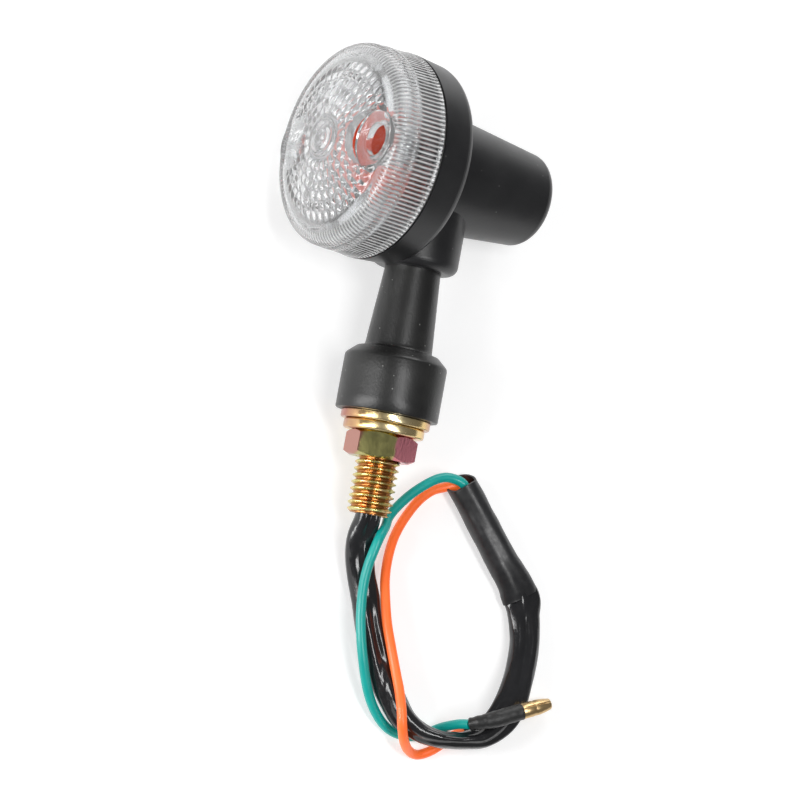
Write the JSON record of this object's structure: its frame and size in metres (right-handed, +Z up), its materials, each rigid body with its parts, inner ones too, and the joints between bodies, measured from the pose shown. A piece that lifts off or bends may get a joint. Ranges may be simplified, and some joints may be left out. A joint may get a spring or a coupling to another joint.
{
  "type": "motorcycle turn signal indicator",
  "caption": "Round motorcycle turn signal with a clear fluted lens, black housing with a tapered tail, flexible rubber stem, threaded hollow stud with nut and washers, and loose leads.",
  "frame": {"origin": "middle of the lamp's footprint on the surface it lies on, leads left out", "axes": "+Z up from the surface, +X towards the end of the threaded stud, -Y towards the side the lens faces"},
  "size_m": [0.15, 0.0831, 0.0486],
  "materials": {
    "lens_clear": "clear moulded acrylic, polished, with moulded flutes and pillows",
    "gasket": "soft grey-black sealing ring",
    "bright_steel": "bright plated steel",
    "reflector": "vacuum-metallised",
    "black_plastic": "satin moulded black",
    "amber_glass": "amber lamp glass",
    "brass": "plain brass",
    "solder": "dull solder",
    "tungsten": "fine wire",
    "fibre": "brown insulating fibre",
    "spring_steel": "bright spring wire",
    "yellow_zinc": "yellow passivated zinc plate, with a rainbow sheen",
    "black_rubber": "satin moulded rubber",
    "green_pvc": "smooth green-blue insulation",
    "orange_pvc": "smooth orange insulation",
    "black_pvc": "thin glossy sleeve, creased",
    "sleeve_end": "thin satin sleeve",
    "heat_shrink": "satin shrunk tube",
    "brass_terminal": "rolled brass with a seam"
  },
  "bodies": {
    "stem": {"hollow_stud": "yellow_zinc", "rubber_stem": "black_rubber", "inner_lead_green": "green_pvc", "inner_lead_orange": "orange_pvc", "lead_sleeve": "black_pvc", "end_sleeve": "sleeve_end", "wire_green": "green_pvc", "wire_orange": "orange_pvc", "boot_green": "heat_shrink", "boot_orange": "heat_shrink", "bullet_green": "brass_terminal", "bullet_orange": "brass_terminal"},
    "head": {"housing": "black_plastic", "lens_gasket": "gasket", "reflector": "reflector", "lamp_socket": "bright_steel", "contact_spring": "spring_steel", "stem_tube": "bright_steel", "stem_tube_washer": "bright_steel", "stem_tube_nut": "yellow_zinc"},
    "lens": {"lens": "lens_clear", "lens_screws": "bright_steel"},
    "bulb": {"bulb_glass": "amber_glass", "bulb_cap": "brass", "bulb_contact": "solder", "bulb_filament": "tungsten"},
    "plunger": {"contact_plunger": "brass", "plunger_disc": "fibre"},
    "washers": {"flat_washer": "yellow_zinc", "spring_washer": "yellow_zinc"},
    "nut": {"hex_nut": "yellow_zinc"}
  },
  "joints": [
    {"name": "stem_flex", "type": "hinge", "parent": "stem", "child": "head", "pos_m": [0.00758, 0.0015, 0.01409], "axis": [0.1266, 0.3409, 0.9316], "range_deg": [-20, 20], "stiffness_Nm_per_rad": 3, "deforming": ["rubber_stem", "inner_lead_green", "inner_lead_orange"]},
    {"name": "lens_off", "type": "slide", "parent": "head", "child": "lens", "axis": [0.0459, -0.9401, 0.3378], "range_m": [0, 0.03]},
    {"name": "bulb_push", "type": "slide", "parent": "head", "child": "bulb", "axis": [-0.0459, 0.9401, -0.3378], "range_m": [0, 0.002], "stiffness_N_per_m": 2000, "springref_m": -0.002},
    {"name": "plunger_travel", "type": "slide", "parent": "head", "child": "plunger", "axis": [-0.0459, 0.9401, -0.3378], "range_m": [0, 0.002], "deforming": ["contact_spring"]},
    {"name": "nut_travel", "type": "slide", "parent": "stem", "child": "washers", "axis": [0.9909, 0, -0.1346], "range_m": [0, 0.005]},
    {"name": "nut_spin", "type": "hinge", "parent": "washers", "child": "nut", "pos_m": [0.03533, 0.0015, 0.01032], "axis": [-0.9909, 0, 0.1346], "range_deg": [0, 1200]}
  ],
  "couplings": [
    {"joint": "plunger_travel", "follows": "bulb_push", "ratio": 1},
    {"joint": "nut_spin", "follows": "nut_travel", "rad_per_m": 4188.8}
  ]
}
